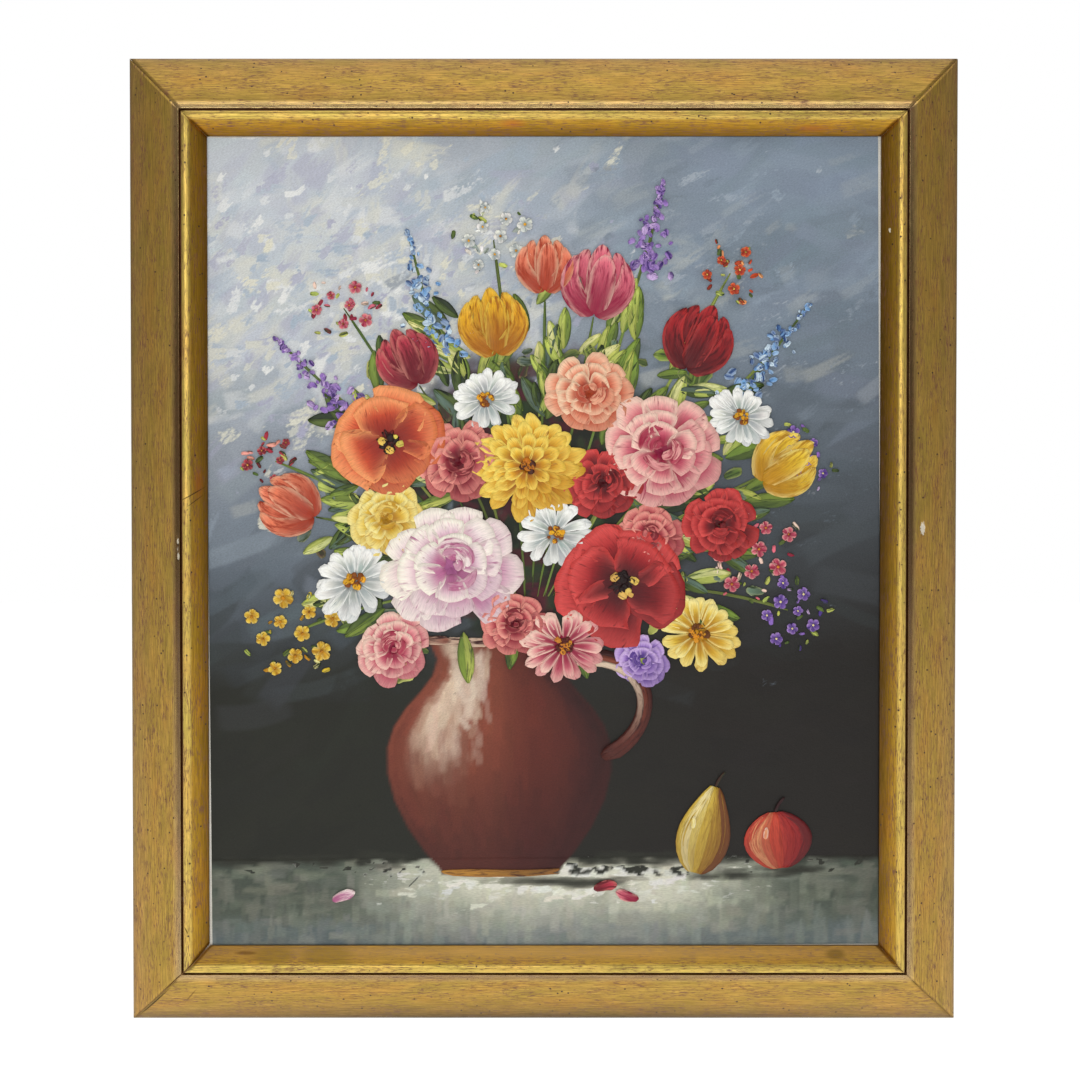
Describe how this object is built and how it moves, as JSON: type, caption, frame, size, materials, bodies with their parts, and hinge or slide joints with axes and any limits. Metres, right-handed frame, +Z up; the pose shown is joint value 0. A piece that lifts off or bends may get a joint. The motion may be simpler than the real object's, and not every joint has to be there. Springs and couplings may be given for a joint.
{
  "type": "framed oil painting",
  "caption": "Upright stretched canvas, thickly painted with flowers, in a worn gilt moulding frame with a deep inner bevel; hangs flat on a wall.",
  "frame": {"origin": "on the flat back of the top rail, halfway along the rail and halfway across its back face", "axes": "+Z up the picture, +X to the right as one looks at the picture, +Y out of the back into the wall; the painted side faces -Y"},
  "size_m": [0.619, 0.038, 0.721],
  "materials": {
    "gilded_moulding": "worn gold leaf over red bole, satin",
    "painted_canvas": "oil paint on primed canvas, raised strokes",
    "stretcher_wood": "raw planed softwood"
  },
  "bodies": {
    "root": {"rail_top": "gilded_moulding", "rail_bottom": "gilded_moulding", "rail_left": "gilded_moulding", "rail_right": "gilded_moulding", "canvas": "painted_canvas", "bar_top": "stretcher_wood", "bar_bottom": "stretcher_wood", "bar_left": "stretcher_wood", "bar_right": "stretcher_wood"}
  },
  "joints": []
}
